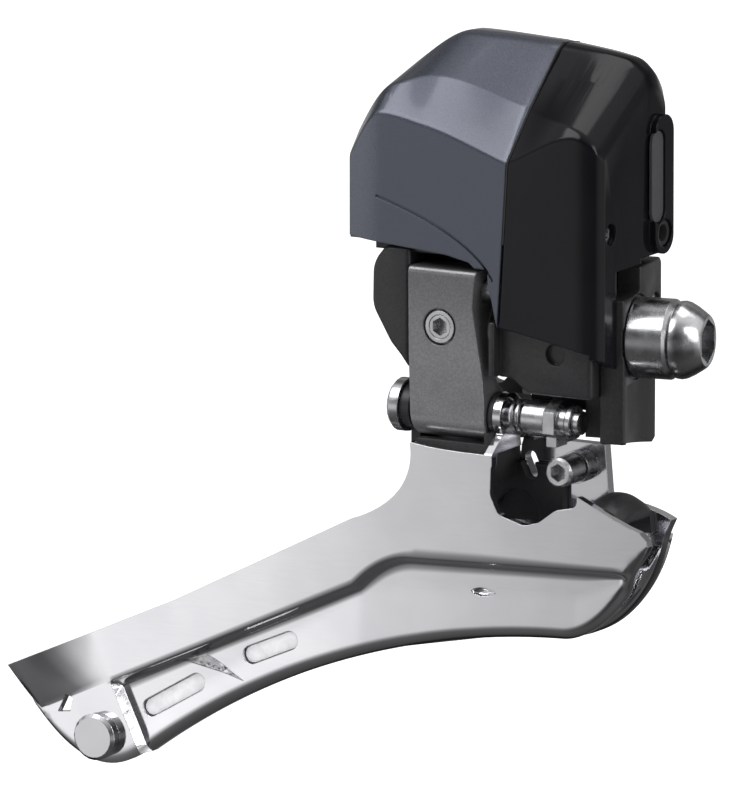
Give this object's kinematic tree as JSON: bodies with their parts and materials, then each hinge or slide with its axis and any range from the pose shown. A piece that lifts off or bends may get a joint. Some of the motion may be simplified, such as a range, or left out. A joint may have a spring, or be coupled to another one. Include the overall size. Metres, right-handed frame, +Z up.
{
  "type": "front derailleur",
  "caption": "Motor-driven bicycle front derailleur: shelled motor unit and bolt-on bracket carrying a parallelogram that swings a two-plate chain cage.",
  "frame": {"origin": "on the axis of the clamp bolt, where it crosses the bearing face of the mount bracket", "axes": "+X forward along the bicycle, +Y inboard towards the frame, +Z up along the seat tube"},
  "size_m": [0.0932, 0.0235, 0.0962],
  "materials": {
    "gloss_black": "gloss black moulding",
    "satin_black": "satin black anodised or painted alloy",
    "cover_paint": "blue-grey metallic paint",
    "link_paint": "matt grey anodised alloy",
    "polished": "polished plate",
    "steel": "bright steel",
    "brass": "machined brass",
    "rubber": "black rubber",
    "pad": "light plastic",
    "grey_plastic": "grey plastic",
    "board": "green circuit board"
  },
  "bodies": {
    "unit": {"base_body": "satin_black", "motor_cover": "cover_paint", "cover_gasket": "rubber", "front_housing": "gloss_black", "housing_screw_front": "steel", "connector_lid": "grey_plastic", "connector_socket": "rubber", "mount_bracket": "satin_black", "clamp_washer": "steel", "clamp_bolt": "steel", "bracket_screw_1": "steel", "bracket_screw_2": "steel", "output_bush_rear": "brass", "output_bush_front": "brass", "shaft_seal": "rubber", "upper_pivot_pin_inner": "steel", "motor_can": "steel", "gear_plate": "steel", "second_gear_axle": "steel", "first_gear_axle": "steel", "circuit_board": "board"},
    "outer_link_body": {"outer_link": "link_paint", "adjusting_screw_ring": "steel", "adjusting_screw": "steel", "output_shaft": "steel", "output_sector_gear": "steel", "position_magnet": "steel"},
    "inner_link_body": {"inner_link": "link_paint"},
    "cage": {"cage_outer_plate": "polished", "cage_inner_plate": "polished", "cage_block": "satin_black", "inner_rivet_1": "steel", "inner_rivet_2": "steel", "cage_bridge": "satin_black", "tail_screw": "polished", "tail_spacer": "steel", "skid_pad_rear": "pad", "skid_pad_front": "pad", "limit_screw": "steel", "limit_screw_stop": "steel", "lower_pivot_pin_outer": "steel", "pivot_bush": "steel", "spring_lever": "steel", "lower_pivot_clip_outer": "steel", "lower_pivot_pin_inner": "steel", "lower_pivot_clip_inner": "steel", "take_up_spring": "steel"},
    "second_gear_body": {"second_gear": "brass"},
    "first_gear_body": {"first_gear": "brass"},
    "motor_shaft_body": {"motor_shaft": "steel"}
  },
  "joints": [
    {"name": "link_swing", "type": "hinge", "parent": "unit", "child": "outer_link_body", "pos_m": [-0.021, -0.007, 0.0054], "axis": [-1, 0, 0], "range_deg": [0, 38]},
    {"name": "inner_link_swing", "type": "hinge", "parent": "unit", "child": "inner_link_body", "pos_m": [-0.021, 0.003, 0.0034], "axis": [-1, 0, 0], "range_deg": [0, 38]},
    {"name": "cage_swing", "type": "hinge", "parent": "outer_link_body", "child": "cage", "pos_m": [-0.021, -0.007, -0.0102], "axis": [-1, 0, 0], "range_deg": [-38, 0]},
    {"name": "second_gear_spin", "type": "hinge", "parent": "unit", "child": "second_gear_body", "pos_m": [-0.01, 0.00078, 0.01318], "axis": [-1, 0, 0], "range_deg": [-171, 0]},
    {"name": "first_gear_spin", "type": "hinge", "parent": "unit", "child": "first_gear_body", "pos_m": [-0.008, 0.00133, 0.01945], "axis": [-1, 0, 0], "range_deg": [0, 547.2]},
    {"name": "motor_spin", "type": "hinge", "parent": "unit", "child": "motor_shaft_body", "pos_m": [-0.02, 0.00111, 0.02575], "axis": [-1, 0, 0], "range_deg": [-1751.04, 0]}
  ],
  "couplings": [
    {"joint": "inner_link_swing", "follows": "link_swing", "ratio": 1},
    {"joint": "cage_swing", "follows": "link_swing", "ratio": -1},
    {"joint": "second_gear_spin", "follows": "link_swing", "ratio": -4.5},
    {"joint": "first_gear_spin", "follows": "link_swing", "ratio": 14.4},
    {"joint": "motor_spin", "follows": "link_swing", "ratio": -46.08}
  ]
}
